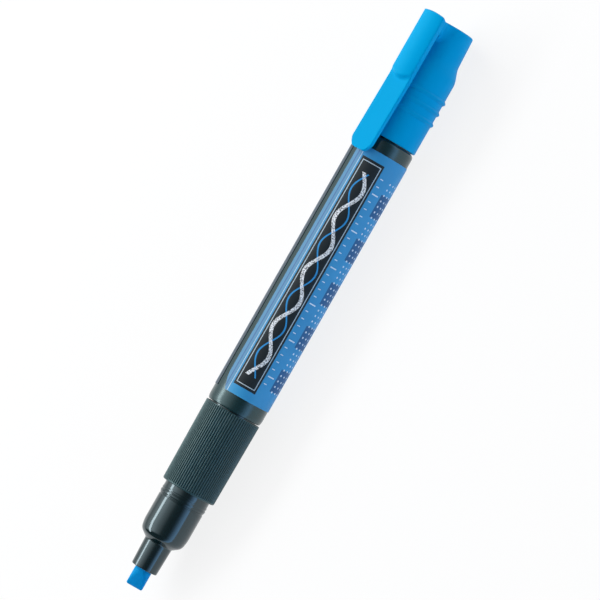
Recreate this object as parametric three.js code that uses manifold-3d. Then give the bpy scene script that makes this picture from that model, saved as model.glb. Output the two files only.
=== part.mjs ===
// A chalk marker: chisel nib, sprung valve, two mixing balls in a sealed barrel, and the cap pushed
// onto the barrel's tail. The pen lies along X, nib towards -X, pocket clip up.
// Lengths are in millimetres, and a station is the distance back from the nib's edge along the axis.
import * as THREE from "three";
import { mergeVertices } from "three/addons/utils/BufferGeometryUtils.js";
import Module from "manifold-3d";

// Facets round the outer mouldings and the smaller inner ones.
const outerSides = 48;
const innerSides = 32;

// Nib: a pressed fibre rod with a chisel edge.
const nibRadius = 2.15;
const nibReach = 4.9;
const nibHidden = 22.1;
const chiselLength = 3.9;
const chiselEdge = 1.0;
const chiselCorner = 0.35;
const nibTurn = THREE.MathUtils.degToRad(34);

// Front section: nozzle, shoulder, neck and the core under the grip.
const nibFit = 0.17;
const nozzleWall = 1.04;
const nozzleTaper = 0.22;
const nozzleLength = 7.1;
const nozzleEdge = 0.25;
const shoulderLength = 3.4;
const neckLength = 10.9;
const neckStep = 0.13;
const ringClearance = 0.07;
const ringWidth = 0.8;
const ringSetback = 2.5;
const sectionWall = 1.3;
const spigotLength = 9.6;
const spigotLeadIn = 0.5;

// Grip sleeve with fine flutes along it.
const gripLength = 21.8;
const gripTaper = 0.24;
const gripLip = 0.8;
const gripBand = 0.7;
const fluteCount = 72;
const fluteWidth = 0.34;
const fluteDepth = 0.16;
const fluteRunOut = 0.35;

// Barrel: the ink reservoir, closed at the tail that carries the cap.
const barrelRadius = 7.2;
const barrelWall = 1.1;
const barrelLength = 74.6;
const barrelFrontRound = 0.9;
const barrelRearRound = 1.3;
const tailLength = 13.6;
const tailWall = 1.05;
const tailRound = 0.8;
const jointGap = 0.28;
const spigotFit = 0.05;

// Printed film round the barrel, with bare plastic showing between its two ends.
const glueLine = 0.03;
const labelFilm = 0.1;
const labelMarginFront = 3.9;
const labelMarginRear = 3.6;
const labelSeamWidth = 2.0;
const labelSeamTurn = THREE.MathUtils.degToRad(-23.7);

// Valve between the barrel and the nib.
const valveFit = 0.05;
const valveWall = 1.1;
const valveFrontWall = 1.2;
const valveLength = 14.0;
const valveFlange = 1.0;
const seatThickness = 1.0;
const stemRadius = 1.1;
const stemFlow = 0.5;
const stemFoot = 1.0;
const headThickness = 1.5;
const pilotRadius = 1.0;
const pilotLength = 4.6;
const wireDiameter = 0.4;
const springRadius = 1.9;
const springCurls = 7;
const retainerThickness = 1.2;
const portCount = 4;
const portRadius = 0.6;
const guideLength = 7.0;
const guideSlots = 6;
const guideSlotWidth = 1.2;
const guideSlotDepth = 0.9;

// Mixing balls, lying on the bore's floor near the tail.
const ballRadius = 2.5;
const ballFit = 0.05;
const ballGap = 0.3;

// Cap, on the tail.
const capFit = 0.2;
const rimGap = 0.2;
const rimRound = 0.3;
const tipClearance = 3.5;
const capEndWall = 1.4;
const capNeckLength = 12.3;
const capCurveLength = 5.0;
const capTopWall = 1.35;
const capTopTaper = 0.3;
const capTopRound = 0.4;
const ridgeCount = 3;
const ridgeSetback = 8.3;
const ridgePitch = 2.93;
const ridgeHeight = 0.48;
const ridgeWidth = 1.0;

// Inner cap that seals round the nozzle.
const linerFit = 0.1;
const linerWall = 0.9;
const linerSeatFit = 0.07;
const linerGap = 1.0;
const linerFlange = 1.0;
const linerEnd = 1.0;

// Pocket clip.
const clipWidth = 6.25;
const clipLength = 37.3;
const clipRise = 0.6;
const clipGap = 1.0;
const clipRootThickness = 1.33;
const clipTipThickness = 1.15;
const clipLean = 0.65;
const clipTipCornerLength = 2.4;
const clipTipCornerWidth = 1.56;
const thumbLength = 18.2;
const thumbEdge = 0.3;
const thumbCrown = 0.7;
const thumbNoseLength = 3.2;
const thumbNoseSweep = 1.3;
const webHeight = 3.2;
const webWidth = 5.6;
const webFillet = 1.2;
const bossHeight = 0.45;

// Radii that follow from the fits.
const nozzleBore = nibRadius + nibFit;
const nozzleFront = nozzleBore + nozzleWall;
const nozzleRear = nozzleFront + nozzleTaper;
const barrelBore = barrelRadius - barrelWall;
const coreRadius = barrelBore - spigotFit;
const neckRadius = coreRadius - neckStep;
const capBore = neckRadius + capFit;
const ringRadius = capBore - ringClearance;
const sectionBore = coreRadius - sectionWall;
const tailBore = neckRadius - tailWall;
const valveRadius = sectionBore - valveFit;
const valveBore = valveRadius - valveWall;
const seatRadius = valveBore - valveFit;
const seatHole = stemRadius + stemFlow;
const headRadius = (seatHole + seatRadius) / 2;
const linerBore = nozzleRear + linerFit;
const linerRadius = linerBore + linerWall;
const linerSeat = linerRadius + linerSeatFit;
const capNeckRadius = linerSeat + capTopWall;
const capTopRadius = capNeckRadius - capTopTaper;
const ridgeRadius = barrelRadius + ridgeHeight;
const labelInner = barrelRadius + glueLine;
const labelOuter = labelInner + labelFilm;

// Stations along the axis.
const nozzleStart = nibReach;
const shoulderStart = nozzleStart + nozzleLength;
const neckStart = shoulderStart + shoulderLength;
const gripStart = neckStart + neckLength;
const gripEnd = gripStart + gripLength;
const barrelStart = gripEnd + jointGap;
const barrelEnd = barrelStart + barrelLength;
const tailEnd = barrelEnd + tailLength;
const spigotEnd = barrelStart + spigotLength;
const nibEnd = nibReach + nibHidden;
const guideStart = neckStart - sectionWall * 0.7;
const valveStart = spigotEnd - valveLength;
const seatStart = valveStart + valveFrontWall;
const headStart = seatStart + seatThickness;
const headEnd = headStart + headThickness;
const retainerStart = spigotEnd - retainerThickness;
const capStart = barrelEnd + rimGap;
const cappedDepth = gripStart;
const capInsideDepth = cappedDepth + tipClearance;
const capLength = capInsideDepth + capEndWall;
const capEnd = capStart + capLength;
const linerDepth = Math.max(tailEnd - capStart, neckLength + shoulderLength) + linerGap;
const clipTop = capEnd + clipRise;
const clipTip = clipTop - clipLength;

// Heights above the axis for the clip.
const clipUnderside = barrelRadius + clipGap;
const bossTop = capNeckRadius + bossHeight;
const axisHeight = ridgeRadius * Math.cos(Math.PI / outerSides);

const wasm = await Module();
wasm.setup();

// A closed mesh as a solid that can be joined and cut.
function solidFrom(geometry) {
  const bare = geometry.clone();
  bare.deleteAttribute("normal");
  bare.deleteAttribute("uv");
  const merged = mergeVertices(bare, 1e-4);
  return new wasm.Manifold(
    new wasm.Mesh({
      numProp: 3,
      vertProperties: merged.attributes.position.array,
      triVerts: new Uint32Array(merged.index.array),
    }),
  );
}

// The solid back as a mesh geometry.
function geometryFrom(solid) {
  const mesh = solid.getMesh();
  return new THREE.BufferGeometry()
    .setAttribute("position", new THREE.BufferAttribute(mesh.vertProperties, 3))
    .setIndex(new THREE.BufferAttribute(mesh.triVerts, 1));
}

// A body of revolution about the pen's axis. Each profile point is [station, radius].
function turned(profile, sides) {
  const points = profile.map(([station, radius]) => new THREE.Vector2(radius, station));
  return new THREE.LatheGeometry(points, sides, Math.PI / sides).rotateZ(-Math.PI / 2);
}

// Points of an elliptical quarter, from angle a to angle b in quarters of a turn.
function arc(station, radius, halfLength, halfHeight, a, b, steps) {
  return Array.from({ length: steps + 1 }, (_, i) => {
    const angle = ((a + ((b - a) * i) / steps) * Math.PI) / 2;
    return [station + halfLength * Math.cos(angle), radius + halfHeight * Math.sin(angle)];
  });
}

// An S-shaped shoulder from one radius to another, as the half wave of a cosine.
function swell(start, end, from, to, steps) {
  return Array.from({ length: steps + 1 }, (_, i) => {
    const share = i / steps;
    return [start + (end - start) * share, from + ((to - from) * (1 - Math.cos(Math.PI * share))) / 2];
  });
}

// A prism of an outline in X and Z, centred across the pen.
function acrossPen(outline, width) {
  const shape = new THREE.Shape(outline.map(([x, z]) => new THREE.Vector2(x, z)));
  return new THREE.ExtrudeGeometry(shape, { depth: width, bevelEnabled: false })
    .rotateX(Math.PI / 2)
    .translate(0, width / 2, 0);
}

// A straight rod along the axis at a height above it, used to cut ports and slots.
function rod(start, end, radius, height, sides) {
  return new THREE.CylinderGeometry(radius, radius, end - start, sides)
    .rotateZ(Math.PI / 2)
    .translate((start + end) / 2, 0, height);
}

// A skin lofted through rings of points that all have the same count, closed at both ends.
function lofted(rings) {
  const count = rings[0].length;
  const corners = rings.flat(2);
  const faces = [];
  for (let ring = 0; ring < rings.length - 1; ring++) {
    for (let i = 0; i < count; i++) {
      const a = ring * count + i;
      const b = ring * count + ((i + 1) % count);
      faces.push(a, a + count, b, b, a + count, b + count);
    }
  }
  const last = (rings.length - 1) * count;
  for (let i = 1; i < count - 1; i++) {
    faces.push(0, i, i + 1, last, last + i + 1, last + i);
  }
  return new THREE.BufferGeometry()
    .setAttribute("position", new THREE.Float32BufferAttribute(corners, 3))
    .setIndex(faces);
}

// The small bead round the neck and the tail that the cap clicks over.
function snapRing(station) {
  return arc(station, neckRadius, -ringWidth / 2, ringRadius - neckRadius, 0, 2, 4);
}

function makeNib() {
  const rodProfile = [
    [0, 0],
    [0, nibRadius - chiselCorner],
    [chiselCorner, nibRadius],
    [nibEnd, nibRadius],
    [nibEnd, 0],
  ];
  const slope = (nibRadius - chiselEdge / 2) / chiselLength;
  const outside = nibRadius + 1;
  const waste = [
    [-1, chiselEdge / 2 - slope],
    [(outside - chiselEdge / 2) / slope, outside],
    [-1, outside],
  ];
  const above = solidFrom(acrossPen(waste, 2 * outside));
  const below = solidFrom(acrossPen(waste, 2 * outside).rotateX(Math.PI));
  return geometryFrom(solidFrom(turned(rodProfile, innerSides)).subtract(above).subtract(below));
}

function makeFrontSection() {
  const outside = [
    [nozzleStart, nozzleBore],
    [nozzleStart, nozzleFront - nozzleEdge],
    [nozzleStart + nozzleEdge, nozzleFront],
    ...swell(shoulderStart, neckStart, nozzleRear, neckRadius, 7),
    ...snapRing(gripStart - ringSetback),
    [gripStart + spigotLeadIn, neckRadius],
    [gripStart + spigotLeadIn, coreRadius],
    [spigotEnd - spigotLeadIn, coreRadius],
    [spigotEnd, coreRadius - spigotLeadIn / 2],
  ];
  const inside = [
    [spigotEnd, sectionBore],
    [guideStart, sectionBore],
    [guideStart, nozzleBore + nozzleWall / 2],
    [shoulderStart, nozzleBore],
    [nozzleStart, nozzleBore],
  ];
  return turned([...outside, ...inside], outerSides);
}

// One flute's waste: a wedge that follows the grip's taper and runs out at both ends.
function fluteWaste() {
  const start = gripStart + gripLip;
  const end = gripEnd - gripBand;
  const radiusAt = (station) => barrelRadius - (gripTaper * (gripEnd - station)) / gripLength;
  const proud = 0.3;
  const spread = (fluteWidth / 2) * (1 + proud / fluteDepth);
  const wedgeAt = (station, root) => [
    [station, 0, radiusAt(station) - root],
    [station, -spread, radiusAt(station) + proud],
    [station, spread, radiusAt(station) + proud],
  ];
  return lofted([
    wedgeAt(start, -0.01),
    wedgeAt(start + fluteRunOut, fluteDepth),
    wedgeAt(end - fluteRunOut, fluteDepth),
    wedgeAt(end, -0.01),
  ]);
}

function makeGripSleeve() {
  const front = barrelRadius - gripTaper;
  const wall = front - barrelBore;
  const profile = [
    [gripStart, barrelBore],
    ...arc(gripStart + gripLip, front - wall * 0.75, gripLip, wall * 0.75, 2, 1, 4),
    [gripEnd - gripLip / 4, barrelRadius],
    [gripEnd, barrelRadius - gripLip / 8],
    [gripEnd, barrelBore],
    [gripStart, barrelBore],
  ];
  let sleeve = solidFrom(turned(profile, fluteCount));
  const waste = solidFrom(fluteWaste());
  for (let flute = 0; flute < fluteCount; flute++) {
    sleeve = sleeve.subtract(waste.rotate([(360 * flute) / fluteCount, 0, 0]));
  }
  return geometryFrom(sleeve);
}

function makeBarrel() {
  const boreEnd = barrelEnd - barrelRearRound - barrelWall;
  const outside = [
    [barrelStart, barrelBore],
    ...arc(barrelStart + barrelFrontRound, barrelRadius - barrelFrontRound * 0.6,
      barrelFrontRound, barrelFrontRound * 0.6, 2, 1, 3),
    ...arc(barrelEnd - barrelRearRound, neckRadius + (barrelRadius - neckRadius) * 0.2,
      barrelRearRound, (barrelRadius - neckRadius) * 0.8, 1, 0, 4),
    [barrelEnd, neckRadius],
    ...snapRing(barrelEnd + ringSetback),
    ...arc(tailEnd - tailRound, neckRadius - tailRound, tailRound, tailRound, 1, 0, 3),
    [tailEnd, 0],
  ];
  const inside = [
    [tailEnd - tailWall, 0],
    [tailEnd - tailWall, tailBore],
    [barrelEnd, tailBore],
    [boreEnd, barrelBore],
    [barrelStart, barrelBore],
  ];
  return turned([...outside, ...inside], outerSides);
}

function makeLabel() {
  const half = labelSeamWidth / 2 / labelOuter;
  const seam = Math.PI / 2 + labelSeamTurn;
  const shape = new THREE.Shape();
  shape.absarc(0, 0, labelOuter, seam + half, seam - half + 2 * Math.PI, false);
  shape.absarc(0, 0, labelInner, seam - half + 2 * Math.PI, seam + half, true);
  const length = barrelLength - labelMarginFront - labelMarginRear;
  const toPen = new THREE.Matrix4().makeBasis(
    new THREE.Vector3(0, 1, 0),
    new THREE.Vector3(0, 0, 1),
    new THREE.Vector3(1, 0, 0),
  );
  return new THREE.ExtrudeGeometry(shape, { depth: length, bevelEnabled: false, curveSegments: outerSides })
    .applyMatrix4(toPen)
    .translate(barrelStart + labelMarginFront, 0, 0);
}

function makeNibGuide() {
  const profile = [
    [guideStart, nozzleBore],
    [guideStart, valveRadius],
    [guideStart + guideLength, valveRadius],
    [guideStart + guideLength, nozzleBore],
    [guideStart, nozzleBore],
  ];
  let guide = solidFrom(turned(profile, innerSides));
  const slot = new THREE.BoxGeometry(guideLength + 2, guideSlotWidth, 2 * guideSlotDepth)
    .translate(guideStart + guideLength / 2, 0, valveRadius);
  const waste = solidFrom(slot);
  for (let i = 0; i < guideSlots; i++) {
    guide = guide.subtract(waste.rotate([(360 * i) / guideSlots, 0, 0]));
  }
  return geometryFrom(guide);
}

function makeValveBody() {
  const profile = [
    [valveStart, seatHole],
    [valveStart, valveRadius],
    [spigotEnd, valveRadius],
    [spigotEnd, coreRadius],
    [spigotEnd + valveFlange, coreRadius],
    [spigotEnd + valveFlange, valveBore],
    [seatStart, valveBore],
    [seatStart, seatHole],
    [valveStart, seatHole],
  ];
  return turned(profile, innerSides);
}

function makeValveSeat() {
  const profile = [
    [seatStart, seatHole],
    [seatStart, seatRadius],
    [headStart, seatRadius],
    [headStart, seatHole],
    [seatStart, seatHole],
  ];
  return turned(profile, innerSides);
}

function makeValveStem() {
  const profile = [
    [nibEnd, 0],
    [nibEnd, nibRadius],
    [nibEnd + stemFoot, nibRadius],
    [nibEnd + 2 * stemFoot, stemRadius],
    [headStart, stemRadius],
    [headStart, headRadius],
    [headEnd - headThickness / 3, headRadius],
    [headEnd, headRadius - headThickness / 3],
    [headEnd, pilotRadius],
    [headEnd + pilotLength, pilotRadius],
    [headEnd + pilotLength, 0],
  ];
  return turned(profile, innerSides / 2);
}

// The wire's centreline: a helix from the stem's head to the retainer.
class SpringLine extends THREE.Curve {
  getPoint(share, target = new THREE.Vector3()) {
    const turn = 2 * Math.PI * springCurls * share;
    const start = headEnd + wireDiameter * 0.6;
    const end = retainerStart - wireDiameter * 0.6;
    return target.set(
      start + (end - start) * share,
      springRadius * Math.cos(turn),
      springRadius * Math.sin(turn),
    );
  }
}

function makeSpring() {
  const sides = 5;
  const section = new THREE.Shape(
    Array.from({ length: sides }, (_, i) => {
      const angle = (2 * Math.PI * i) / sides;
      return new THREE.Vector2(Math.cos(angle), Math.sin(angle)).multiplyScalar(wireDiameter / 2);
    }),
  );
  return new THREE.ExtrudeGeometry(section, { steps: springCurls * 8, extrudePath: new SpringLine() });
}

function makeRetainer() {
  const profile = [
    [retainerStart, 0],
    [retainerStart, seatRadius],
    [spigotEnd, seatRadius],
    [spigotEnd, 0],
  ];
  const portCircle = (seatRadius + portRadius) / 2;
  let disc = solidFrom(turned(profile, innerSides));
  const port = solidFrom(rod(retainerStart - 1, spigotEnd + 1, portRadius, portCircle, 10));
  for (let i = 0; i < portCount; i++) {
    disc = disc.subtract(port.rotate([(360 * i) / portCount, 0, 0]));
  }
  return geometryFrom(disc);
}

function makeBall(station) {
  const floor = barrelBore * Math.cos(Math.PI / outerSides);
  return new THREE.SphereGeometry(ballRadius, 20, 12).translate(station, 0, ballRadius + ballFit - floor);
}

function makeCapBody() {
  const curveStart = capEnd - capNeckLength;
  const curveEnd = curveStart + capCurveLength;
  const ridges = Array.from({ length: ridgeCount }, (_, i) =>
    arc(capStart + ridgeSetback + i * ridgePitch, barrelRadius, -ridgeWidth / 2, ridgeHeight, 0, 2, 4),
  ).flat();
  const linerStart = capStart + linerDepth;
  const seatSlope = capCurveLength * 0.6;
  const outside = [
    [capStart, capBore],
    [capStart, barrelRadius - rimRound],
    [capStart + rimRound, barrelRadius],
    ...ridges,
    ...swell(curveStart, curveEnd, barrelRadius, capNeckRadius, 6),
    ...arc(capEnd - capTopRound, capTopRadius - capTopRound, capTopRound, capTopRound, 1, 0, 2),
    [capEnd, 0],
  ];
  const inside = [
    [capEnd - capEndWall, 0],
    [capEnd - capEndWall, linerSeat],
    [linerStart + linerFlange + seatSlope, linerSeat],
    [linerStart + linerFlange, capBore],
    [capStart, capBore],
  ];
  const shell = solidFrom(turned([...outside, ...inside], outerSides));
  const boss = new THREE.BoxGeometry(webHeight, webWidth, bossTop - linerSeat - capTopWall / 2)
    .translate(capEnd - capTopRound - webHeight / 2, 0, (bossTop + linerSeat + capTopWall / 2) / 2);
  return geometryFrom(shell.add(solidFrom(boss)));
}

function makeInnerCap() {
  const start = capStart + linerDepth;
  const end = capEnd - capEndWall;
  const profile = [
    [start, linerBore + linerFit],
    [start, capBore - linerSeatFit],
    [start + linerFlange, capBore - linerSeatFit],
    [start + linerFlange, linerRadius],
    [end, linerRadius],
    [end, 0],
    [end - linerEnd, 0],
    [end - linerEnd, linerBore],
    [start + linerFlange, linerBore],
    [start, linerBore + linerFit],
  ];
  return turned(profile, innerSides);
}

// One ring round the clip's blade: flat below, crowned above.
function clipRing(station, halfWidth, under, edge, crown, sweep) {
  const across = [-1, -0.7, -0.35, 0, 0.35, 0.7, 1];
  const top = across.map((share) => [
    station + sweep * share * share,
    halfWidth * share,
    edge + crown * (1 - share * share),
  ]);
  return [[station, halfWidth, under], [station, -halfWidth, under], ...top];
}

function makeClip() {
  const half = clipWidth / 2;
  const bend = clipTop - thumbLength;
  const rootOuter = clipUnderside + clipRootThickness;
  const bladeAt = (station, halfWidth) => {
    const share = (bend - station) / (bend - clipTip);
    const outer = rootOuter + clipLean * share;
    const thickness = clipRootThickness + (clipTipThickness - clipRootThickness) * share;
    return clipRing(station, halfWidth, outer - thickness, outer, 0, 0);
  };
  const tipSteps = 4;
  const tip = Array.from({ length: tipSteps + 1 }, (_, i) => {
    const angle = (Math.PI / 2) * (i / tipSteps);
    const back = clipTipCornerLength * (1 - Math.cos(angle));
    return bladeAt(clipTip + back, half - clipTipCornerWidth * (1 - Math.sin(angle)));
  });
  const noseSteps = 4;
  const thumb = Array.from({ length: noseSteps + 1 }, (_, i) => {
    const angle = (Math.PI / 2) * (i / noseSteps);
    const station = bend + thumbNoseLength * (1 - Math.cos(angle));
    const rise = Math.sin(angle);
    return clipRing(station, half, clipUnderside, rootOuter + thumbEdge * rise, thumbCrown * rise,
      thumbNoseSweep * (1 - i / noseSteps));
  });
  const slope = clipRise * 1.4;
  const end = clipRing(clipTop, half, clipUnderside, rootOuter + thumbEdge, thumbCrown, 0);
  const topEnd = end.map(([x, y, z]) => [x - (z === clipUnderside ? slope : 0), y, z]);
  const blade = solidFrom(lofted([...tip, ...thumb, topEnd]));
  const webRear = capEnd - capTopRound;
  const webFront = webRear - webHeight;
  const overlap = clipRootThickness / 2;
  const fillet = Array.from({ length: 5 }, (_, i) => {
    const angle = (Math.PI / 2) * (i / 4);
    return [
      webFront - webFillet * (1 - Math.cos(angle)),
      clipUnderside - webFillet * (1 - Math.sin(angle)),
    ];
  });
  const web = acrossPen(
    [
      [webRear, bossTop],
      [webRear, clipUnderside + overlap],
      [webFront - webFillet, clipUnderside + overlap],
      ...fillet.reverse(),
      [webFront, bossTop],
    ],
    webWidth,
  );
  return geometryFrom(blade.add(solidFrom(web)));
}

const blackGloss = { color: 0x1c2326, roughness: 0.25, metalness: 0 };
const blackMatt = { color: 0x3c484c, roughness: 0.75, metalness: 0 };
const blueMoulding = { color: 0x0b8fd0, roughness: 0.35, metalness: 0 };
const blueFibre = { color: 0x0a7cc8, roughness: 0.9, metalness: 0 };
const printedFilm = { color: 0x2f7fc4, roughness: 0.4, metalness: 0 };
const clearMoulding = { color: 0xe9ebe8, roughness: 0.45, metalness: 0 };
const rubber = { color: 0x202022, roughness: 0.85, metalness: 0 };
const steel = { color: 0xb8bcc0, roughness: 0.25, metalness: 1 };

const pen = new THREE.Group();
pen.position.set(-clipTop / 2, 0, axisHeight);

function addPiece(name, geometry, finish, turn = 0) {
  const mesh = new THREE.Mesh(geometry, new THREE.MeshStandardMaterial(finish));
  mesh.name = name;
  mesh.rotation.x = turn;
  pen.add(mesh);
}

const rearBall = barrelEnd - barrelRearRound - barrelWall - ballRadius - ballGap;
addPiece("nib", makeNib(), blueFibre, nibTurn);
addPiece("nib_guide", makeNibGuide(), clearMoulding);
addPiece("front_section", makeFrontSection(), blackGloss);
addPiece("grip_sleeve", makeGripSleeve(), blackMatt);
addPiece("barrel", makeBarrel(), blackGloss);
addPiece("barrel_label", makeLabel(), printedFilm);
addPiece("valve_body", makeValveBody(), clearMoulding);
addPiece("valve_seat", makeValveSeat(), rubber);
addPiece("valve_stem", makeValveStem(), clearMoulding);
addPiece("valve_spring", makeSpring(), steel);
addPiece("valve_retainer", makeRetainer(), clearMoulding);
addPiece("mixing_ball_1", makeBall(rearBall - 2 * ballRadius - ballGap), steel);
addPiece("mixing_ball_2", makeBall(rearBall), steel);
addPiece("cap_body", makeCapBody(), blueMoulding);
addPiece("inner_cap", makeInnerCap(), clearMoulding);
addPiece("pocket_clip", makeClip(), blueMoulding);

export default pen;
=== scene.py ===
"""Looks of the chalk marker: finely modelled mouldings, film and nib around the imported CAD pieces."""
import math

import bmesh
import bpy
from mathutils import Matrix, Vector


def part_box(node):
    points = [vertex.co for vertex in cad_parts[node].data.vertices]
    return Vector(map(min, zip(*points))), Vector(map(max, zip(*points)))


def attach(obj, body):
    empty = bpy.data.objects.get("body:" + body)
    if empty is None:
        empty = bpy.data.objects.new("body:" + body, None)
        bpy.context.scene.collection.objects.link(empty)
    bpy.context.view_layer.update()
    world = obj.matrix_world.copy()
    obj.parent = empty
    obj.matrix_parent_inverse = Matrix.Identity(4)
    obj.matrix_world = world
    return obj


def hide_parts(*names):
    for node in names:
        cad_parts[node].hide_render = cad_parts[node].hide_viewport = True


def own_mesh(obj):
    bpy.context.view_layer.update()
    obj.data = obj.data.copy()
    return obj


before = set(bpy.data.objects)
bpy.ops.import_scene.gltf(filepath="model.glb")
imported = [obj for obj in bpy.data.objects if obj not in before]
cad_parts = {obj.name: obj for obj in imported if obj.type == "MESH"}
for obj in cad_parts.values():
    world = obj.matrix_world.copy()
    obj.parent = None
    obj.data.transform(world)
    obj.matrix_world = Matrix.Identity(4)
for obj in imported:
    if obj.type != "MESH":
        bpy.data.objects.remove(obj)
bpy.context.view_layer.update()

# Lengths are in millimetres. A station is the distance back from the nib's edge along the axis.
MM = 0.001
HALF_LENGTH = round(-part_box("nib")[0].x / MM, 2)
# The cap's ridges lie on the surface, so their radius is the axis's height.
AXIS_HEIGHT = round(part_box("cap_body")[1].y / MM, 4)


def span(node):
    """The first and last station of a CAD node, to a hundredth of a millimetre."""
    return tuple(round(corner.x / MM + HALF_LENGTH, 2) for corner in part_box(node))


# Nib
NIB_END = span("nib")[1]
NIB_RADIUS, NIB_CORNER = 2.15, 0.4
CHISEL_LENGTH, CHISEL_EDGE, CHISEL_WEAR, CHISEL_TURN = 3.9, 1.0, 0.15, math.radians(34)

# Front section: nozzle, shoulder, neck and core
NOZZLE_START, SPIGOT_END = span("front_section")
GUIDE_START = span("nib_guide")[0]
NOZZLE_BORE, BORE_END, GUIDE_SEAT = 2.32, 12.0, 2.84
NOZZLE_FRONT, NOZZLE_REAR, NOZZLE_END = 3.36, 3.58, 11.95
SHOULDER_TURN, SHOULDER_RADIUS = 13.4, 5.54
NECK_START, NECK_RADIUS, CORE_RADIUS, SECTION_BORE = 15.6, 5.92, 6.05, 4.75
RING_WIDTH, RING_HEIGHT, REAR_RING_WIDTH, REAR_RING_HEIGHT = 0.8, 0.13, 0.56, 0.1
NECK_RING, GROOVE_WIDTH, GROOVE_DEPTH = 23.8, 0.4, 0.12

# Grip
GRIP_START, GRIP_END = span("grip_sleeve")
GRIP_FRONT, GRIP_REAR, GRIP_LIP, GRIP_BAND = 6.96, 7.2, 0.42, 0.12
FLUTE_COUNT, FLUTE_SHARE, FLUTE_DEPTH, FLUTE_RUN_OUT = 72, 0.7, 0.24, 0.2
FLUTE_START, FLUTE_END = GRIP_START + GRIP_LIP, GRIP_END - GRIP_BAND

# Valve spring
RETAINER_START = span("valve_retainer")[0]
STEM_HEAD, NIB_TRAVEL = RETAINER_START - 9.1, 1.6
SPRING_CURLS, SPRING_RADIUS, WIRE_DIAMETER, END_CURL, END_PITCH = 7, 1.9, 0.4, 0.8, 0.44

# Cap
CAP_START, CAP_END = span("cap_body")
LINER_START, LINER_SEAT = span("inner_cap")[0], 4.65
CAP_RADIUS, CAP_BORE, CAP_NECK, CAP_TOP, CAP_WALL = 7.2, 6.12, 6.0, 5.7, 1.4
CAP_CURVE_START, CAP_CURVE_END = CAP_END - 12.3, CAP_END - 7.3
RIDGE_COUNT, FIRST_RIDGE, RIDGE_PITCH, RIDGE_HEIGHT, RIDGE_WIDTH = 3, CAP_START + 8.3, 2.93, 0.46, 1.6

# Barrel
BARREL_START, TAIL_END = span("barrel")
BARREL_END = CAP_START - 0.2
BARREL_RADIUS, BARREL_BORE, BORE_TAPER = 7.2, 6.1, 2.4
TAIL_RING, TAIL_BORE, TAIL_WALL = BARREL_END + 2.5, 4.87, 1.05

# Label
LABEL_START, LABEL_END = span("barrel_label")
LABEL_INNER, LABEL_OUTER = 7.23, 7.33
SEAM_TURN, SEAM_WIDTH = math.radians(23.7), 2.0
CORNER_LENGTH, CORNER_WIDTH = 3.6, 1.45

# Clip and the root that stands on the cap's boss
CLIP_TIP, CLIP_TOP = span("pocket_clip")
CLIP_BEND, CLIP_WIDTH, CLIP_UNDERSIDE = CLIP_TIP + 19.1, 6.25, 8.2
CLIP_ROOT_THICKNESS, CLIP_TIP_THICKNESS, CLIP_LEAN = 1.33, 1.15, 0.65
CLIP_EDGE, CLIP_FOOT, CLIP_END_ROUND = 0.28, 0.2, 0.25
TIP_CORNER_LENGTH, TIP_CORNER_WIDTH, TIP_ROUND = 2.4, 1.56, 1.4
THUMB_EDGE, THUMB_CROWN, NOSE_LENGTH, NOSE_SWEEP = 0.3, 0.7, 1.3, 1.3
TOP_SLOPE, TOP_SLOPE_LENGTH = 0.84, 2.0
WEB_END = CAP_END - 0.4
WEB_START, WEB_WIDTH, WEB_FILLET, WEB_TAPER = WEB_END - 3.2, 5.6, 2.6, 0.6
BOSS_TOP, BOSS_RAMP, BOSS_FOOT = 6.45, 2.2, 1.3


# Mesh making


def place(station, across, height):
    """A point of the marker in the shared frame."""
    return Vector(((station - HALF_LENGTH) * MM, across * MM, (height + AXIS_HEIGHT) * MM))


def about_axis(station, radius, turn):
    """A point at a radius from the axis, turned about it from the top."""
    return place(station, radius * math.sin(turn), radius * math.cos(turn))


def rounding(radius, steps):
    """How far a rounded edge draws in from each of its two sides, in steps from one to the other."""
    angles = [math.pi / 2 * i / steps for i in range(steps + 1)]
    return [(radius * (1 - math.cos(angle)), radius * (1 - math.sin(angle))) for angle in angles]


def spaced(start, end, steps):
    """Equal steps from one value to another, without the first value."""
    return [start + (end - start) * i / steps for i in range(1, steps + 1)]


def smooth(share):
    """Eases from 0 to 1."""
    share = min(1.0, max(0.0, share))
    return share * share * (3 - 2 * share)


def curved(start, bend, end, steps):
    """Points on a curve that leaves one point towards a second and arrives at a third from it."""
    shares = [i / steps for i in range(steps + 1)]
    return [start.lerp(bend, share).lerp(bend.lerp(end, share), share) for share in shares]


def softened(corners, steps=5):
    """A profile whose corners are rounded over the distance that each gives as a third number."""
    points = []
    for i, corner in enumerate(corners):
        here = Vector(corner[:2])
        if len(corner) < 3:
            points.append(here)
            continue
        before, after = Vector(corners[i - 1][:2]), Vector(corners[(i + 1) % len(corners)][:2])
        start = here + (before - here).normalized() * corner[2]
        end = here + (after - here).normalized() * corner[2]
        points += curved(start, here, end, steps)
    return points


def swell(start, end, from_radius, to_radius, steps):
    """An S-shaped shoulder between two radii."""
    return [
        (start + (end - start) * i / steps,
         from_radius + (to_radius - from_radius) * (1 - math.cos(math.pi * i / steps)) / 2)
        for i in range(steps + 1)
    ]


def bead(station, radius, width, height, steps=10, fullness=0.7):
    """A rounded ring that stands proud of a radius, or a groove where its height is negative."""
    points = []
    for i in range(steps + 1):
        share = 2 * i / steps - 1
        points.append((station + share * width / 2, radius + height * (1 - share * share) ** fullness))
    return points


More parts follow.
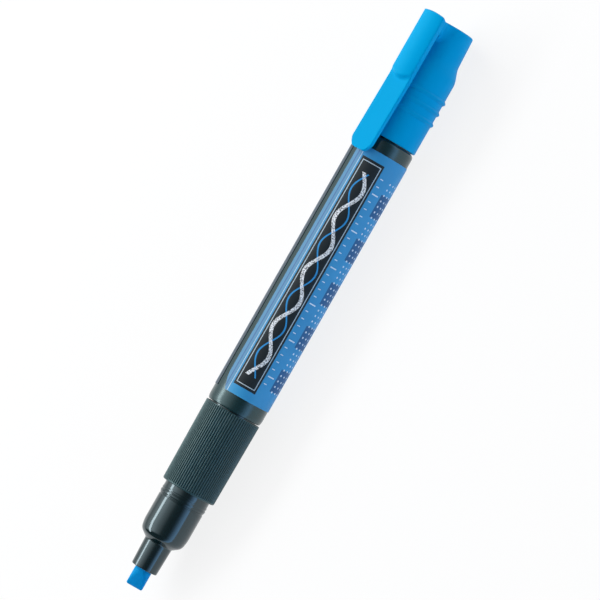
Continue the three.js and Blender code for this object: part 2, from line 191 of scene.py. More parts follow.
def loft(shape, rings, closed=False):
    """Skins rings of points with quads. A ring of one point closes the end there."""
    made = [[shape.verts.new(point) for point in ring] for ring in rings]
    pairs = list(zip(made, made[1:]))
    if closed:
        pairs.append((made[-1], made[0]))
    for first, second in pairs:
        count = max(len(first), len(second))
        if count == 1:
            continue
        for i in range(count):
            j = (i + 1) % count
            corners = [first[i % len(first)], first[j % len(first)],
                       second[j % len(second)], second[i % len(second)]]
            shape.faces.new(list(dict.fromkeys(corners)))
    return made


def capped(rings):
    """A skin over rings, closed with a flat face at each end."""
    shape = bmesh.new()
    made = loft(shape, rings)
    for end in (made[0], made[-1]):
        shape.faces.new(end)
    return shape


def held(profile, near=0.12):
    """Adds points near both ends of each long straight run, which keeps smooth shading to the corners."""
    points = []
    for i, point in enumerate(profile):
        here, after = Vector(point[:2]), Vector(profile[(i + 1) % len(profile)][:2])
        points.append(here)
        run = after - here
        if run.length > 5 * near:
            points += [here + run.normalized() * near, after - run.normalized() * near]
    return points


def turned(profile, sides=144):
    """A body turned about the axis, from a closed profile or one that starts and ends on the axis."""
    turns = [2 * math.pi * i / sides for i in range(sides)]
    rings = []
    for station, radius in held(profile):
        if radius > 0:
            rings.append([about_axis(station, radius, turn) for turn in turns])
        else:
            rings.append([place(station, 0, 0)])
    shape = bmesh.new()
    loft(shape, rings, closed=True)
    return shape


def piece(name, shape, finish, body, nodes, sharp=40):
    """Turns a mesh into a piece of the object that stands for its CAD node."""
    bmesh.ops.recalc_face_normals(shape, faces=shape.faces)
    for face in shape.faces:
        face.smooth = True
    for edge in shape.edges:
        edge.smooth = len(edge.link_faces) != 2 or edge.calc_face_angle() < math.radians(sharp)
    mesh = bpy.data.meshes.new(name)
    shape.to_mesh(mesh)
    shape.free()
    mesh.materials.append(finish)
    made = bpy.data.objects.new(name, mesh)
    bpy.context.scene.collection.objects.link(made)
    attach(made, body)
    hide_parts(*nodes)
    return made


def joined(first, second):
    """One closed mesh from two that cross, with nothing left inside."""
    meshes = []
    for shape in (first, second):
        bmesh.ops.recalc_face_normals(shape, faces=shape.faces)
        mesh = bpy.data.meshes.new("part_of_piece")
        shape.to_mesh(mesh)
        shape.free()
        meshes.append(mesh)
    objects = [bpy.data.objects.new(mesh.name, mesh) for mesh in meshes]
    for made in objects:
        bpy.context.scene.collection.objects.link(made)
    union = objects[0].modifiers.new("union", "BOOLEAN")
    union.operation, union.solver, union.object = "UNION", "EXACT", objects[1]
    bpy.context.view_layer.update()
    result = bmesh.new()
    result.from_object(objects[0], bpy.context.evaluated_depsgraph_get())
    for made in objects:
        bpy.data.objects.remove(made)
    for mesh in meshes:
        bpy.data.meshes.remove(mesh)
    bmesh.ops.remove_doubles(result, verts=result.verts, dist=1e-7)
    return result


# Material making


def colour(code):
    """A linear colour from an sRGB hex value."""
    parts = [int(code[i:i + 2], 16) / 255 for i in (1, 3, 5)]
    linear = [part / 12.92 if part <= 0.04045 else ((part + 0.055) / 1.055) ** 2.4 for part in parts]
    return (*linear, 1.0)


def add(tree, kind, feed=None, out=0, **settings):
    """Adds a node with its settings. feed gives each input a value or another node's output."""
    made = tree.nodes.new("ShaderNode" + kind)
    for key, value in settings.items():
        setattr(made, key, value)
    for key, value in (feed or {}).items():
        if isinstance(value, bpy.types.NodeSocket):
            tree.links.new(value, made.inputs[key])
        else:
            made.inputs[key].default_value = value
    return made.outputs[out]


def material(name, feed):
    """A material with one Principled shader, and its node tree to add the detail to."""
    made = bpy.data.materials.new(name)
    made.use_nodes = True
    tree = made.node_tree
    shader = tree.nodes["Principled BSDF"]
    for key, value in feed.items():
        shader.inputs[key].default_value = value
    return made, tree, shader


def mould_texture(tree, shader, grain, depth, spread, rough):
    """A grain or faint ripple as bump, with the roughness varying a little from patch to patch."""
    patch = 9.0
    where = add(tree, "TexCoord", out=3)
    specks = add(tree, "TexNoise", {"Vector": where, "Scale": 1 / (grain * MM), "Detail": 3.0,
                                    "Roughness": 0.6})
    bump = add(tree, "Bump", {"Height": specks, "Strength": 1.0, "Distance": depth * MM})
    tree.links.new(bump, shader.inputs["Normal"])
    cloud = add(tree, "TexNoise", {"Vector": where, "Scale": 1 / (patch * MM), "Detail": 4.0,
                                   "Roughness": 0.55})
    varied = add(tree, "MapRange", {"Value": cloud, "From Min": 0.3, "From Max": 0.7,
                                    "To Min": rough - spread, "To Max": rough + spread})
    tree.links.new(varied, shader.inputs["Roughness"])
    return where


def gloss_black():
    """Polypropylene, injection moulded in a polished tool: near black, with crisp reflections."""
    made, tree, shader = material("polished_moulded_polypropylene_black", {
        "IOR": 1.49, "Base Color": colour("#03181b"), "Specular Tint": (0.72, 0.92, 1.0, 1.0),
        "Specular IOR Level": 0.9})
    mould_texture(tree, shader, grain=3.0, depth=0.004, spread=0.03, rough=0.1)
    return made


def satin_black():
    """Polypropylene moulded in a fine-stoned tool: teal black, with reflections a little blurred."""
    made, tree, shader = material("stoned_moulded_polypropylene_black", {
        "IOR": 1.49, "Base Color": colour("#082a2d"), "Specular Tint": (0.7, 0.94, 0.98, 1.0),
        "Specular IOR Level": 0.8})
    mould_texture(tree, shader, grain=2.0, depth=0.004, spread=0.03, rough=0.25)
    return made


def matt_charcoal():
    """Polypropylene moulded in a spark-eroded tool: dark teal grey, with a soft even sheen."""
    made, tree, shader = material("spark_eroded_polypropylene_charcoal", {
        "IOR": 1.49, "Base Color": colour("#072d32"), "Specular Tint": (0.64, 0.91, 0.94, 1.0),
        "Specular IOR Level": 0.95})
    mould_texture(tree, shader, grain=0.12, depth=0.012, spread=0.04, rough=0.42)
    return made


def bright_blue():
    """Polypropylene coloured bright blue and moulded with a satin gloss."""
    made, tree, shader = material("satin_moulded_polypropylene_blue", {
        "IOR": 1.49, "Base Color": colour("#00a1d9"), "Specular Tint": (0.0, 0.6, 1.0, 1.0),
        "Specular IOR Level": 0.15})
    mould_texture(tree, shader, grain=0.5, depth=0.003, spread=0.03, rough=0.5)
    return made


def inked_fibre():
    """Bonded polyester fibre, pressed and soaked with blue ink: matt, with its fibres along the nib."""
    # Single fibres are about a tenth as wide, too fine to show, so they are drawn as coarse bundles.
    fibre_width, fibre_stretch, fibre_height = 0.22, 0.12, 0.05
    made, tree, shader = material("pressed_polyester_fibre_blue", {
        "IOR": 1.5, "Roughness": 0.8, "Specular Tint": (0.12, 0.6, 1.0, 1.0)})
    where = add(tree, "TexCoord", out=3)
    drawn = add(tree, "Mapping", {"Vector": where, "Scale": (fibre_stretch, 1.0, 1.0)})
    fibres = add(tree, "TexNoise", {"Vector": drawn, "Scale": 1 / (fibre_width * MM), "Detail": 4.0,
                                    "Roughness": 0.65})
    tone = add(tree, "Mix", {"Factor": fibres, "A": colour("#0077b6"), "B": colour("#009de0")},
               out=2, data_type="RGBA")
    tree.links.new(tone, shader.inputs["Base Color"])
    bump = add(tree, "Bump", {"Height": fibres, "Strength": 1.0, "Distance": fibre_height * MM})
    tree.links.new(bump, shader.inputs["Normal"])
    return made


def printed_film():
    """Polypropylene film printed in blues, charcoal and white, under a clear semi-gloss varnish."""
    made, tree, shader = material("printed_polypropylene_film", {"IOR": 1.49, "Specular IOR Level": 0.35})
    where = mould_texture(tree, shader, grain=1.2, depth=0.003, spread=0.03, rough=0.48)

    # Both in millimetres: the station along the pen, and the way round the film from its seam.
    centre = (0, 0, AXIS_HEIGHT * MM)
    unrolled = add(tree, "VectorRotate", {"Vector": where, "Center": centre, "Angle": SEAM_TURN},
                   rotation_type="X_AXIS")
    along, across, height = add(tree, "SeparateXYZ", {"Vector": unrolled}).node.outputs
    station = add(tree, "Math", {0: along, 1: 1 / MM, 2: HALF_LENGTH}, operation="MULTIPLY_ADD")
    below = add(tree, "Math", {0: AXIS_HEIGHT * MM, 1: height}, operation="SUBTRACT")
    turn = add(tree, "Math", {0: across, 1: below}, operation="ARCTAN2")
    around = add(tree, "Math", {0: turn, 1: LABEL_OUTER, 2: math.pi * LABEL_OUTER},
                 operation="MULTIPLY_ADD")

    def between(value, low, high):
        """1 where the value lies between two bounds."""
        return add(tree, "Math", {0: value, 1: (low + high) / 2, 2: (high - low) / 2}, operation="COMPARE")

    def both(first, second):
        """1 where both masks are 1."""
        return add(tree, "Math", {0: first, 1: second}, operation="MULTIPLY")

    def block(first, last, low, high):
        """1 on a rectangle of the film, given by its stations and its way round."""
        return both(between(station, first, last), between(around, low, high))

    def repeats(value, pitch, width):
        """1 on lines of a width that come back at a pitch."""
        near = add(tree, "Math", {0: value, 1: pitch / 2}, operation="PINGPONG")
        return between(near, -width / 2, width / 2)

    def row(pitch, width, low, high):
        """1 on a row of bars along the pen, each as long round the film as from low to high."""
        return both(both(run, repeats(station, pitch, width)), between(around, low, high))

    def stroke(middle, swing, pitch, width):
        """1 on a line that waves about a way round as it runs along the pen."""
        phase = add(tree, "Math", {0: station, 1: 2 * math.pi / pitch}, operation="MULTIPLY")
        sine = add(tree, "Math", {0: phase}, operation="SINE")
        wave = add(tree, "Math", {0: sine, 1: swing, 2: middle}, operation="MULTIPLY_ADD")
        return both(panel, add(tree, "Math", {0: around, 1: wave, 2: width / 2}, operation="COMPARE"))

    def dots(middle, pitch, width):
        """1 on round dots in a row along the pen, at a way round."""
        step = add(tree, "Math", {0: station, 1: pitch / 2}, operation="PINGPONG")
        off = add(tree, "Math", {0: around, 1: middle}, operation="SUBTRACT")
        spot = add(tree, "CombineXYZ", {"X": step, "Y": off})
        far = add(tree, "VectorMath", {"Vector": spot}, out="Value", operation="LENGTH")
        return both(run, add(tree, "Math", {0: far, 1: width / 2}, operation="LESS_THAN"))

    speck, cloud = 0.3, 14.0
    speckle = add(tree, "TexNoise", {"Vector": where, "Scale": 1 / (speck * MM), "Detail": 3.0,
                                     "Roughness": 0.7})
    chalk = add(tree, "MapRange", {"Value": speckle, "From Min": 0.4, "From Max": 0.52})
    shade = add(tree, "TexNoise", {"Vector": where, "Scale": 1 / (cloud * MM), "Detail": 2.0})
    ink = add(tree, "Mix", {"Factor": shade, "A": colour("#2888be"), "B": colour("#3c9dd1")},
              out=2, data_type="RGBA")

    charcoal_ink, bar_ink, dot_ink, chalk_ink = "#162126", "#d3e3ee", "#cfe1ee", "#f4f6f7"
    whole = (LABEL_START - 1, LABEL_END + 1)
    run = between(station, 56.5, 115.0)
    panel = between(station, 58.0, 113.5)
    # Each print is a mask and an ink, and lies over the ones before it. Sizes are in millimetres.
    prints = [
        (block(*whole, 0, 3.35), "#4885ad"),
        (block(*whole, 42.4, 46.1), "#3d4c58"),
        (block(*whole, 2.0, 2.3), "#2a5f94"),
        (block(*whole, 3.1, 3.3), "#a9c8de"),
        (block(54.6, 117.0, 3.7, 9.8), charcoal_ink),
        (block(55.3, 116.3, 4.2, 9.3), "#b9cad3"),
        (block(55.5, 116.1, 4.4, 9.1), charcoal_ink),
        (stroke(6.75, -1.5, 15.0, 0.4), "#2f93d2"),
        (both(stroke(6.75, 1.5, 15.0, 1.0), chalk), chalk_ink),
        (row(2.0, 0.22, 10.4, 11.2), bar_ink),
        (row(10.0, 0.3, 10.4, 12.2), bar_ink),
        (row(12.0, 6.0, 12.9, 17.6), "#185c8e"),
    ]
    prints += [(dots(middle, 1.5, 0.5), dot_ink) for middle in (13.8, 15.25, 16.7)]
    prints += [
        (both(block(60, 112, 21.5, 34.5), repeats(around, 2.2, 0.2)), "#bfd8ea"),
        (block(54.6, 117.0, 36.6, 41.4), charcoal_ink),
        (both(stroke(39.0, 1.1, 10.0, 0.6), chalk), chalk_ink),
    ]
    for mask, code in prints:
        ink = add(tree, "Mix", {"Factor": mask, "A": ink, "B": colour(code)}, out=2, data_type="RGBA")
    tree.links.new(ink, shader.inputs["Base Color"])
    return made


def milky_plastic():
    """Polypropylene without pigment, moulded thin: milky white and slightly translucent."""
    made, tree, shader = material("natural_moulded_polypropylene", {
        "IOR": 1.49, "Base Color": colour("#e6e8e4"), "Subsurface Weight": 0.3, "Subsurface Scale": 1 * MM})
    mould_texture(tree, shader, grain=0.4, depth=0.003, spread=0.04, rough=0.4)
    return made


def seal_rubber():
    """Nitrile rubber, moulded: soft black and almost without gloss."""
    made, tree, shader = material("moulded_nitrile_rubber", {"IOR": 1.52, "Base Color": colour("#1b1b1c")})
    mould_texture(tree, shader, grain=0.15, depth=0.01, spread=0.05, rough=0.75)
    return made


def bright_steel():
    """Stainless steel, drawn or ground bright: clear reflections, very slightly blurred."""
    made, tree, shader = material("ground_stainless_steel", {
        "Metallic": 1.0, "Base Color": colour("#c4c7ca")})
    mould_texture(tree, shader, grain=0.3, depth=0.002, spread=0.04, rough=0.22)
    return made


gloss, satin, charcoal = gloss_black(), satin_black(), matt_charcoal()
blue, fibre, film = bright_blue(), inked_fibre(), printed_film()
milky, rubber, steel = milky_plastic(), seal_rubber(), bright_steel()


# Pen


def make_nib():
    """The nib: a round fibre rod pressed to a chisel, with every edge slightly worn round."""
    sides, squareness = 160, 14
    slope = (NIB_RADIUS - CHISEL_EDGE / 2) / CHISEL_LENGTH
    # The rings lie close together where the edges are worn round.
    stations = [0.0, 0.03, 0.08, 0.15, 0.25, 0.4, 0.6, 0.9, 1.3, 1.8, 2.4, 3.0, 3.5, 3.8, 4.0, 4.3, 4.7]
    stations += [6.0, 12.0, 20.0, NIB_END]
    rings = [[place(0, 0, 0)]]
    for station in stations:
        corner = max(0.0, 1 - station / NIB_CORNER)
        radius = NIB_RADIUS - NIB_CORNER * (1 - math.sqrt(1 - corner * corner))
        worn = max(0.0, 1 - station / CHISEL_WEAR)
        half = CHISEL_EDGE / 2 + slope * station - CHISEL_WEAR * (1 - math.sqrt(1 - worn * worn))
        ring = []
        for i in range(sides):
            turn = 2 * math.pi * i / sides
            flat = half / max(abs(math.cos(turn)), 1e-4)
            reach = (radius ** -squareness + flat ** -squareness) ** (-1 / squareness)
            ring.append(about_axis(station, reach, turn - CHISEL_TURN))
        rings.append(ring)
    rings.append([place(NIB_END, 0, 0)])
    shape = bmesh.new()
    loft(shape, rings)
    return piece("fibre_nib", shape, fibre, "plunger", ["nib"])


def make_front_section():
    """The front section: nozzle, shoulder, neck with its two rings, and the core that carries the grip."""
    mouth_edge, nozzle_edge, nozzle_foot, shoulder_edge, neck_edge = 0.12, 0.3, 0.25, 0.95, 0.7
    spigot_edge, bore_edge = 0.25, 0.2
    core_start = GRIP_START + 0.5
    profile = softened([
        (BORE_END, NOZZLE_BORE), (NOZZLE_START, NOZZLE_BORE, mouth_edge),
        (NOZZLE_START, NOZZLE_FRONT, nozzle_edge), (NOZZLE_END, NOZZLE_REAR, nozzle_foot),
        (SHOULDER_TURN, SHOULDER_RADIUS, shoulder_edge), (NECK_START, NECK_RADIUS, neck_edge),
        (NECK_START + 1.8, NECK_RADIUS),
    ], 8)
    groove = NECK_RING - RING_WIDTH / 2 - GROOVE_WIDTH
    profile += bead(groove, NECK_RADIUS, GROOVE_WIDTH, -GROOVE_DEPTH, 6)
    profile += bead(NECK_RING, NECK_RADIUS, RING_WIDTH, RING_HEIGHT)
    profile += bead(NECK_RING + RING_WIDTH, NECK_RADIUS, REAR_RING_WIDTH, REAR_RING_HEIGHT, 8)
    profile += softened([
        (NECK_RING + 1.5, NECK_RADIUS), (core_start, NECK_RADIUS), (core_start, CORE_RADIUS),
        (SPIGOT_END, CORE_RADIUS, spigot_edge), (SPIGOT_END, SECTION_BORE, bore_edge),
        (GUIDE_START, SECTION_BORE), (GUIDE_START, GUIDE_SEAT),
    ])
    return piece("front_moulding", turned(profile), gloss, "pen", ["front_section"])


def make_grip():
    """The grip: a matt sleeve whose round-bottomed flutes run out before a plain lip and band."""
    per_flute, run_out_steps, lip_edge, band_edge, hold = 10, 5, 0.4, 0.1, 2.0
    sides = FLUTE_COUNT * per_flute
    run_out = [FLUTE_RUN_OUT * i / run_out_steps for i in range(run_out_steps + 1)]
    along = [FLUTE_START + out for out in run_out[1:]]
    along += [FLUTE_START + hold, (FLUTE_START + FLUTE_END) / 2, FLUTE_END - hold]
    along += [FLUTE_END - out for out in reversed(run_out)]
    taper = (GRIP_REAR - GRIP_FRONT) / (GRIP_END - GRIP_START)
    lip = softened([
        (GRIP_START, BARREL_BORE), (GRIP_START, GRIP_FRONT, lip_edge), (FLUTE_START, GRIP_FRONT),
    ], 6)
    middle = [(station, GRIP_FRONT + taper * (station - GRIP_START)) for station in along]
    band = softened([
        (FLUTE_END + 0.01, GRIP_REAR), (GRIP_END, GRIP_REAR, band_edge), (GRIP_END, BARREL_BORE),
    ], 4)
    rings = []
    for station, radius in lip + middle + band:
        inside = min(station - FLUTE_START, FLUTE_END - station) / FLUTE_RUN_OUT
        depth = FLUTE_DEPTH * math.sin(math.pi / 2 * min(1.0, max(0.0, inside)))
        ring = []
        for i in range(sides):
            share = (i % per_flute) / per_flute - 0.5
            dip = math.cos(math.pi * share / FLUTE_SHARE) ** 2 if abs(share) < FLUTE_SHARE / 2 else 0.0
            ring.append(about_axis(station, radius - depth * dip, 2 * math.pi * i / sides))
        rings.append(ring)
    shape = bmesh.new()
    loft(shape, rings, closed=True)
    return piece("fluted_grip", shape, charcoal, "pen", ["grip_sleeve"], sharp=60)


def make_barrel():
    """The barrel: a closed tube with a rounded mouth, and a narrower tail with its bead under the cap."""
    mouth_drop, mouth_length, mouth_edge, mouth_run = 0.25, 0.9, 0.3, 0.6
    shoulder_edge, tail_edge, floor_edge = 1.2, 0.8, 0.5
    tail_floor = TAIL_END - TAIL_WALL
    profile = softened([
        (BARREL_START, BARREL_BORE), (BARREL_START, BARREL_RADIUS - mouth_drop, mouth_edge),
        (BARREL_START + mouth_length, BARREL_RADIUS, mouth_run),
        (BARREL_END - 0.05, BARREL_RADIUS, shoulder_edge), (BARREL_END, NECK_RADIUS),
    ], 8)
    profile += bead(TAIL_RING, NECK_RADIUS, RING_WIDTH, RING_HEIGHT)
    profile += softened([
        (TAIL_RING + 1, NECK_RADIUS), (TAIL_END, NECK_RADIUS, tail_edge), (TAIL_END, 0),
        (tail_floor, 0), (tail_floor, TAIL_BORE, floor_edge), (BARREL_END, TAIL_BORE),
        (BARREL_END - BORE_TAPER, BARREL_BORE),
    ])
    return piece("barrel_moulding", turned(profile), satin, "pen", ["barrel"])


def make_label():
    """The label: a film wrapped round the barrel, with a cut corner beside the bare seam."""
    around, along = 180, 48
    full = 2 * math.pi * LABEL_OUTER
    rings = []
    for station in [LABEL_START] + spaced(LABEL_START, LABEL_END, along):
        cut = CORNER_WIDTH * max(0.0, 1 - (station - LABEL_START) / CORNER_LENGTH)
        start, end = SEAM_WIDTH / 2 + cut, full - SEAM_WIDTH / 2
        turns = [SEAM_TURN - (start + (end - start) * j / around) / LABEL_OUTER for j in range(around + 1)]
        outer = [about_axis(station, LABEL_OUTER, turn) for turn in turns]
        inner = [about_axis(station, LABEL_INNER, turn) for turn in reversed(turns)]
        rings.append(outer + inner)
    shape = bmesh.new()
    made = loft(shape, rings)
    for ring in (made[0], made[-1]):
        count = len(ring)
        for j in range(around):
            shape.faces.new([ring[j], ring[j + 1], ring[count - 2 - j], ring[count - 1 - j]])
    return piece("label_wrap", shape, film, "pen", ["barrel_label"])


def make_spring():
    """The valve spring: round wire, closed up at both ends.

    The real spring squeezes towards the retainer as the nib is pressed; the coil built here keeps one
    length.
    """
    sides, steps = 12, 36
    seat = 0.6 * WIRE_DIAMETER
    first, last = STEM_HEAD + seat, RETAINER_START - seat
    open_curls = SPRING_CURLS - 2 * END_CURL
    open_pitch = (last - first - 2 * END_CURL * END_PITCH) / open_curls
    rings = []
    for i in range(SPRING_CURLS * steps + 1):
        curl = i / steps
        opened = min(max(curl - END_CURL, 0.0), open_curls)
        station = first + END_PITCH * (curl - opened) + open_pitch * opened
        turn = 2 * math.pi * curl
        outward = Vector((0, math.sin(turn), math.cos(turn)))
        pitch = open_pitch if 0 < opened < open_curls else END_PITCH
        run = Vector((pitch / (2 * math.pi * SPRING_RADIUS), math.cos(turn), -math.sin(turn))).normalized()
        aside = run.cross(outward)
        middle = place(station, SPRING_RADIUS * outward.y, SPRING_RADIUS * outward.z)
        ring = []
        for j in range(sides):
            angle = 2 * math.pi * j / sides
            off = (outward * math.cos(angle) + aside * math.sin(angle)) * WIRE_DIAMETER / 2
            ring.append(middle + off * MM)
        rings.append(ring)
    coil = piece("coil_spring", capped(rings), steel, "pen", ["valve_spring"])
    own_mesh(coil)


# Cap and clip


def web_half(station):
    """Half the width of the clip's root, which narrows away from the end of the cap."""
    share = (WEB_END - station) / (WEB_END - WEB_START + WEB_FILLET)
    return WEB_WIDTH / 2 * (1 - WEB_TAPER * share * share)


def cap_boss():
    """The boss under the clip's root: a hollow ramp ahead of it, and feet that run out on the cap."""
    steps, edge_width, edge_height, ramp_sink, foot_sink = 8, 0.15, 0.2, 0.05, 0.03
    ramp = [(WEB_START - BOSS_RAMP * i / steps, math.sqrt(1 - math.sqrt(1 - (i / steps) ** 2)))
            for i in range(steps, -1, -1)]
    level = [(station, 0) for station in spaced(WEB_START, WEB_END, 4)]
    rings = []
    for station, sunk in ramp + level:
        half = web_half(station)
        radius = CAP_TOP + (CAP_NECK - CAP_TOP) * (CAP_END - station) / (CAP_END - CAP_CURVE_END)
        top = BOSS_TOP - (BOSS_TOP + ramp_sink - math.sqrt(radius ** 2 - half ** 2)) * sunk
        reach = half + BOSS_FOOT
        run_out = Vector((reach, math.sqrt(radius ** 2 - reach ** 2) - foot_sink))
        edge = Vector((half, top - edge_height))
        bend = Vector((half, min(edge.y, run_out.y + BOSS_FOOT * run_out.x / run_out.y)))
        foot = [(point.x, point.y) for point in curved(edge, bend, run_out, steps)]
        level_top = [(edge_width - half, top), (half - edge_width, top)]
        ring = level_top + foot + [(-y, z) for y, z in reversed(foot)]
        rings.append([place(station, y, z) for y, z in ring])
    return capped(rings)


def make_cap():
    """The cap: open mouth, three finger ridges, a waist and a flat end with the clip's boss."""
    mouth_inner_edge, mouth_edge, end_edge, seat_edge = 0.15, 0.3, 0.45, 0.3
    crest, end_inside = CAP_RADIUS + RIDGE_HEIGHT, CAP_END - CAP_WALL
    profile = softened([
        (LINER_START + 1, CAP_BORE), (CAP_START, CAP_BORE, mouth_inner_edge),
        (CAP_START, CAP_RADIUS, mouth_edge), (CAP_START + 1, CAP_RADIUS),
    ])
    for i in range(RIDGE_COUNT):
        station = FIRST_RIDGE + RIDGE_PITCH * i
        profile += swell(station - RIDGE_WIDTH / 2, station, CAP_RADIUS, crest, 8)
        profile += swell(station, station + RIDGE_WIDTH / 2, crest, CAP_RADIUS, 8)[1:]
    profile += swell(CAP_CURVE_START, CAP_CURVE_END, CAP_RADIUS, CAP_NECK, 20)
    profile += softened([
        (CAP_CURVE_END + 1, CAP_NECK - 0.04), (CAP_END, CAP_TOP, end_edge), (CAP_END, 0), (end_inside, 0),
        (end_inside, LINER_SEAT, seat_edge), (LINER_START + 4, LINER_SEAT),
    ])
    shape = joined(turned(profile), cap_boss())
    return piece("cap_moulding", shape, blue, "cap", ["cap_body"])


def clip_ring(station, shrink):
    """One ring round the clip: flat below, with rounded sides, and the crowned thumb pad above."""
    lean = max(0.0, (CLIP_BEND - station) / (CLIP_BEND - CLIP_TIP))
    top = CLIP_UNDERSIDE + CLIP_ROOT_THICKNESS + CLIP_LEAN * lean
    under = top - CLIP_ROOT_THICKNESS + (CLIP_ROOT_THICKNESS - CLIP_TIP_THICKNESS) * lean + shrink
    crown = top + THUMB_EDGE + THUMB_CROWN
    back = min(1.0, (station - CLIP_TIP) / TIP_CORNER_LENGTH)
    bow = (1 - (1 - back) ** TIP_ROUND) ** (1 / TIP_ROUND)
    half = CLIP_WIDTH / 2 - TIP_CORNER_WIDTH * (1 - bow) - shrink
    edge = min(CLIP_EDGE, half / 3)
    side = rounding(edge, 6)
    upper = [(in_by - half, drop) for in_by, drop in side]
    upper += [((half - edge) * i / 10, 0.0) for i in range(-9, 10)]
    upper += [(half - in_by, drop) for in_by, drop in reversed(side)]
    ring = []
    for y, drop in upper:
        share = y / (CLIP_WIDTH / 2)
        nose = CLIP_BEND + NOSE_SWEEP * share * share
        rise = smooth((station - nose) / NOSE_LENGTH)
        ring.append((y, top - shrink - drop + rise * (THUMB_EDGE + THUMB_CROWN * (1 - share * share))))
    foot = [(half - in_by, under + up_by) for in_by, up_by in rounding(CLIP_FOOT, 3)]
    ring += foot + [(-y, z) for y, z in reversed(foot)]
    slope = TOP_SLOPE * smooth((station - CLIP_TOP + TOP_SLOPE_LENGTH) / TOP_SLOPE_LENGTH)
    return [place(station - slope * (crown - z) / (crown - under), y, z) for y, z in ring]


def clip_blade():
    """The clip's blade, with its rounded tip and its crowned thumb pad."""
    nose_start, nose_end, slope_start = CLIP_BEND - 0.3, CLIP_BEND + 3, CLIP_TOP - 2.2
    corner_end = CLIP_TIP + TIP_CORNER_LENGTH
    eased = rounding(CLIP_END_ROUND, 4)
    stations = spaced(CLIP_TIP, corner_end, 12)[1:] + spaced(corner_end, nose_start, 10)
    stations += spaced(nose_start, nose_end, 24) + spaced(nose_end, slope_start, 10)
    stations += spaced(slope_start, CLIP_TOP - CLIP_END_ROUND, 8)[:-1]
    rings = [clip_ring(CLIP_TIP + out, shrink) for out, shrink in eased]
    rings += [clip_ring(station, 0) for station in stations]
    rings += [clip_ring(CLIP_TOP - out, shrink) for out, shrink in reversed(eased)]
    return capped(rings)


def clip_web():
    """The clip's root: a web down to the boss, hollowed out ahead to meet the blade's underside."""
    into_blade, roof = CLIP_UNDERSIDE + 0.5, CLIP_UNDERSIDE + 0.02
    below = [(station, BOSS_TOP) for station in [WEB_END] + spaced(WEB_END, WEB_START, 4)]
    below += [(WEB_START - WEB_FILLET * out, roof - (roof - BOSS_TOP) * drop)
              for out, drop in rounding(1, 12)[1:]]
    rings = []
    for station, under in below:
        half = web_half(station)
        corners = ((-half, into_blade), (half, into_blade), (half, under), (-half, under))
        rings.append([place(station, y, z) for y, z in corners])
    return capped(rings)


def make_clip():
    """The pocket clip: the blade and the web that carries it, as one moulding."""
    shape = joined(clip_blade(), clip_web())
    return piece("clip_moulding", shape, blue, "clip", ["pocket_clip"], sharp=50)


make_nib()
make_front_section()
make_grip()
make_barrel()
make_label()
make_spring()
make_cap()
make_clip()

# The inner pieces keep their CAD shapes and get their finishes.
inner_finishes = {
    "nib_guide": milky, "valve_body": milky, "valve_seat": rubber, "valve_stem": milky,
    "valve_retainer": milky, "mixing_ball_1": steel, "mixing_ball_2": steel, "inner_cap": milky,
}
for node, finish in inner_finishes.items():
    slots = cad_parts[node].data.materials
    slots.clear()
    slots.append(finish)


# Floor, light and camera, in metres


def make_floor():
    """A plain white table top, far larger than the view.

    To the eye it is nearly white everywhere, with a soft shadow of the marker.
    """
    half_size, own_glow = 4.0, 0.85
    shape = bmesh.new()
    bmesh.ops.create_grid(shape, x_segments=8, y_segments=8, size=half_size)
    mesh = bpy.data.meshes.new("table_top")
    shape.to_mesh(mesh)
    shape.free()
    made, tree, shader = material("white_matt_board", {
        "Base Color": colour("#f2f2f2"), "Roughness": 0.9, "Specular IOR Level": 0.0})
    glow = add(tree, "Emission", {"Color": (1, 1, 1, 1), "Strength": 1.0})
    path = add(tree, "LightPath").node.outputs
    direct = add(tree, "Math", {0: path["Is Camera Ray"], 1: path["Is Glossy Ray"]}, operation="ADD")
    any_look = add(tree, "Math", {0: direct, 1: path["Is Transmission Ray"]}, operation="ADD",
                   use_clamp=True)
    seen = add(tree, "Math", {0: any_look, 1: own_glow}, operation="MULTIPLY")
    mixed = add(tree, "MixShader", {0: seen, 1: shader.outputs[0], 2: glow})
    tree.links.new(mixed, tree.nodes["Material Output"].inputs["Surface"])
    mesh.materials.append(made)
    table = bpy.data.objects.new("table_top", mesh)
    bpy.context.scene.collection.objects.link(table)


def set_up(name, data, place_at, axes):
    """Puts a lamp or the camera at a point, with its right, up and back along three axes."""
    rig = bpy.data.objects.new(name, data)
    rig.matrix_world = Matrix.Translation(place_at) @ Matrix(axes).transposed().to_4x4()
    bpy.context.scene.collection.objects.link(rig)
    return rig


def make_strip_light():
    """A narrow soft box up behind the marker, which draws the highlight along its mouldings."""
    length, width, distance, watts = 1.5, 0.18, 0.8, 5.6
    lamp = bpy.data.lights.new("strip_soft_box", "AREA")
    lamp.shape, lamp.size, lamp.size_y, lamp.energy = "RECTANGLE", length, width, watts
    back = Vector((0, 0.719, 0.695)).normalized()
    along = Vector((1, 0, 0))
    set_up("strip_soft_box", lamp, back * distance, (along, back.cross(along).normalized(), back))


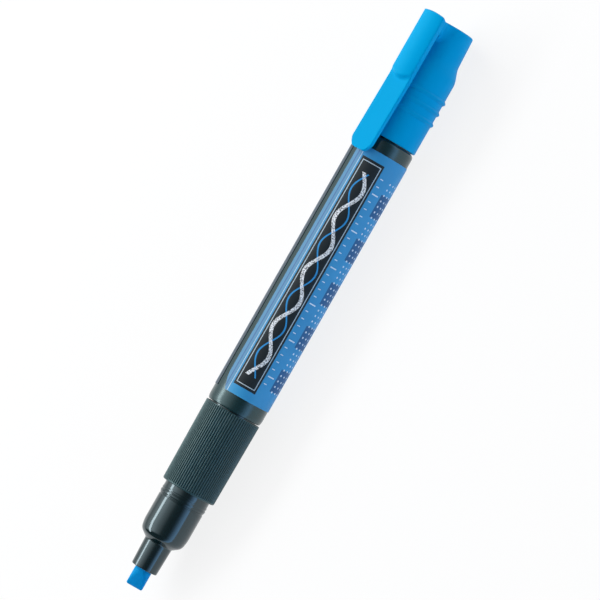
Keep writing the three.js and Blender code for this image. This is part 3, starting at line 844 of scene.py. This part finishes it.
def make_world():
    """White diffusers that arch over the marker from back to front, with a gap where the camera looks in.

    Below the gap hangs a cooler one. A plain dim light fills in from everywhere.
    """
    gap_low, gap_high, cool, fill = -52, -34, (0.6, 0.94, 1.42), (0.1, 0.1, 0.1)
    brightness, even_reach, dark_reach = 2.15, 0.4, 0.6
    # Each level of the arch goes with a lean in degrees: -90 level in front, 0 overhead, 90 level behind.
    levels = [(-90, 1.0), (-80, 0.74), (-72, 0.46), (-62, 0.14), (gap_low, 0.01), (gap_high, 0.01),
              (-20, 0.05), (-6, 0.28), (9, 0.5), (24, 0.85), (33, 1.0), (57, 0.8), (70, 0.5),
              (83, 0.28), (90, 0.25)]
    world = bpy.data.worlds.new("studio")
    world.use_nodes = True
    bpy.context.scene.world = world
    tree = world.node_tree
    side, front, up = add(tree, "SeparateXYZ", {"Vector": add(tree, "TexCoord", out=0)}).node.outputs
    lean = add(tree, "Math", {0: front, 1: up}, operation="ARCTAN2")
    share = add(tree, "MapRange", {"Value": lean, "From Min": -math.pi / 2, "From Max": math.pi / 2})
    arch = add(tree, "ValToRGB", {"Fac": share})
    stops = arch.node.color_ramp.elements
    for degrees, level in levels[1:-1]:
        stops.new((degrees + 90) / 180)
    for stop, (degrees, level) in zip(stops, levels):
        tint = cool if degrees <= gap_low else (1, 1, 1)
        stop.position = (degrees + 90) / 180
        stop.color = (tint[0] * level, tint[1] * level, tint[2] * level, 1)
    # The arch is as long as the marker needs, and the low diffuser reaches twice as far to each side.
    width = add(tree, "Math", {0: side}, operation="ABSOLUTE")
    narrowing = add(tree, "MapRange", {"Value": lean, "From Min": math.radians(gap_low),
                                       "From Max": math.radians(gap_high), "To Min": 0.5, "To Max": 1.0})
    reach = add(tree, "Math", {0: width, 1: narrowing}, operation="MULTIPLY")
    within = add(tree, "MapRange", {"Value": reach, "From Min": even_reach, "From Max": dark_reach,
                                    "To Min": brightness, "To Max": 0.0}, interpolation_type="SMOOTHSTEP")
    light = add(tree, "VectorMath", {0: arch, 1: within, 2: fill}, operation="MULTIPLY_ADD")
    tree.links.new(light, tree.nodes["Background"].inputs["Color"])


def make_camera():
    """The photograph's view: from the marker's side, 56 degrees up, with the pen leaning in the picture."""
    turn, rise, distance = math.radians(29.717), math.radians(56.0), 0.9
    aim = Vector((0.00202, -0.00045, 0.00736))
    back = Vector((0, -math.cos(rise), math.sin(rise)))
    over = Vector((0, -math.sin(rise), -math.cos(rise)))
    along = Vector((1, 0, 0))
    right = along * math.sin(turn) + over * math.cos(turn)
    up = along * math.cos(turn) - over * math.sin(turn)
    camera = bpy.data.cameras.new("camera")
    camera.lens, camera.sensor_width, camera.clip_start, camera.clip_end = 225, 36, 0.01, 20
    bpy.context.scene.camera = set_up("camera", camera, aim + back * distance, (right, up, back))


make_floor()
make_strip_light()
make_world()
make_camera()
bpy.context.scene.view_settings.view_transform = "Standard"
